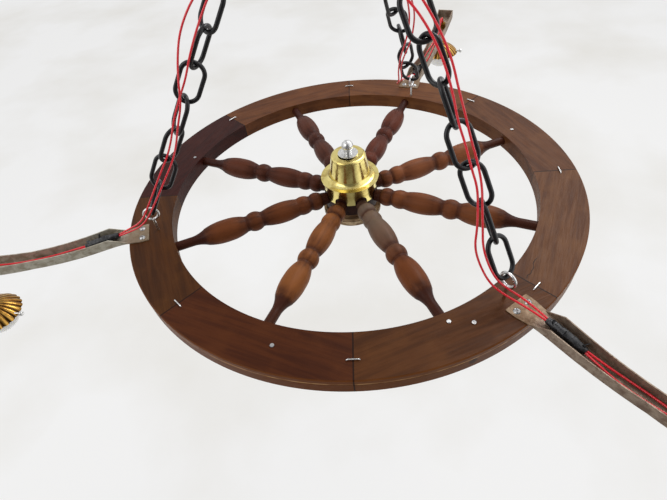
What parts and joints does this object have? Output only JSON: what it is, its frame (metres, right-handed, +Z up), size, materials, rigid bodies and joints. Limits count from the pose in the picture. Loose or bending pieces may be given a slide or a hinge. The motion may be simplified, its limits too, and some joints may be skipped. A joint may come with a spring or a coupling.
{
  "type": "wagon wheel chandelier",
  "caption": "Turned wooden wagon wheel hung level on chains, with sheet-steel arms that carry small opal glass lamps under fluted brass galleries.",
  "frame": {"origin": "middle of the ceiling plate top face, where it meets the ceiling", "axes": "+Z up; the wheel hangs level below the origin; -Y is the side that the picture was taken from"},
  "size_m": [0.8806, 0.9501, 0.6366],
  "materials": {
    "rim_wood": "satin",
    "spoke_wood": "satin",
    "hub_wood": "satin",
    "base_wood": "satin",
    "brass": "polished",
    "gallery_brass": "polished",
    "bright_steel": "satin",
    "black_chain": "satin",
    "arm_steel": "matte",
    "opal_glass": "gloss",
    "bulb_glass": "gloss",
    "dark_plastic": "gloss",
    "red_wire": "gloss",
    "tape": "satin",
    "white_plastic": "satin"
  },
  "bodies": {
    "ceiling": {"ceiling_plate": "black_chain", "ceiling_hook": "black_chain"},
    "ring": {"gather_ring": "black_chain"},
    "wheel": {"arm_left": "arm_steel", "arm_rear": "arm_steel", "arm_right": "arm_steel", "arm_screws": "bright_steel", "arm_wires_left": "red_wire", "arm_wires_rear": "red_wire", "arm_wires_right": "red_wire", "chain_left": "black_chain", "chain_rear": "black_chain", "chain_right": "black_chain", "chain_wires_left": "red_wire", "chain_wires_rear": "red_wire", "chain_wires_right": "red_wire", "felloe_1": "rim_wood", "felloe_2": "rim_wood", "felloe_3": "rim_wood", "felloe_4": "rim_wood", "felloe_5": "rim_wood", "felloe_6": "rim_wood", "felloe_7": "rim_wood", "felloe_8": "rim_wood", "felloe_dowels": "rim_wood", "gallery_left": "gallery_brass", "gallery_rear": "gallery_brass", "gallery_right": "gallery_brass", "hub_base": "base_wood", "hub_bell": "brass", "hub_core": "hub_wood", "hub_crown": "brass", "hub_nuts": "bright_steel", "hub_rod": "bright_steel", "joint_staples": "bright_steel", "lamp_stems": "gallery_brass", "lampholder_left": "dark_plastic", "lampholder_rear": "dark_plastic", "lampholder_right": "dark_plastic", "rim_nails": "bright_steel", "screw_eyes": "bright_steel", "spoke_1": "spoke_wood", "spoke_2": "spoke_wood", "spoke_3": "spoke_wood", "spoke_4": "spoke_wood", "spoke_5": "spoke_wood", "spoke_6": "spoke_wood", "spoke_7": "spoke_wood", "spoke_8": "spoke_wood", "tape_joints": "tape", "terminal_block": "white_plastic", "thumbscrews": "bright_steel"},
    "globe_left_body": {"globe_left": "opal_glass"},
    "globe_right_body": {"globe_right": "opal_glass"},
    "globe_rear_body": {"globe_rear": "opal_glass"},
    "bulb_left_body": {"bulb_left": "bulb_glass"},
    "bulb_right_body": {"bulb_right": "bulb_glass"},
    "bulb_rear_body": {"bulb_rear": "bulb_glass"}
  },
  "joints": [
    {"name": "ring_swing", "type": "hinge", "parent": "ceiling", "child": "ring", "pos_m": [0, 0, -0.052], "axis": [-0.2656, 0.9641, 0], "range_deg": [-12, 12]},
    {"name": "wheel_swing", "type": "hinge", "parent": "ring", "child": "wheel", "pos_m": [0, 0, -0.1012], "axis": [0.9641, 0.2656, 0], "range_deg": [-12, 12]},
    {"name": "globe_left_drop", "type": "slide", "parent": "wheel", "child": "globe_left_body", "axis": [0, 0, -1], "range_m": [0, 0.06]},
    {"name": "bulb_left_unscrew", "type": "slide", "parent": "wheel", "child": "bulb_left_body", "axis": [0, 0, -1], "range_m": [0, 0.007]},
    {"name": "globe_right_drop", "type": "slide", "parent": "wheel", "child": "globe_right_body", "axis": [0, 0, -1], "range_m": [0, 0.06]},
    {"name": "bulb_right_unscrew", "type": "slide", "parent": "wheel", "child": "bulb_right_body", "axis": [0, 0, -1], "range_m": [0, 0.007]},
    {"name": "globe_rear_drop", "type": "slide", "parent": "wheel", "child": "globe_rear_body", "axis": [0, 0, -1], "range_m": [0, 0.06]},
    {"name": "bulb_rear_unscrew", "type": "slide", "parent": "wheel", "child": "bulb_rear_body", "axis": [0, 0, -1], "range_m": [0, 0.007]}
  ]
}
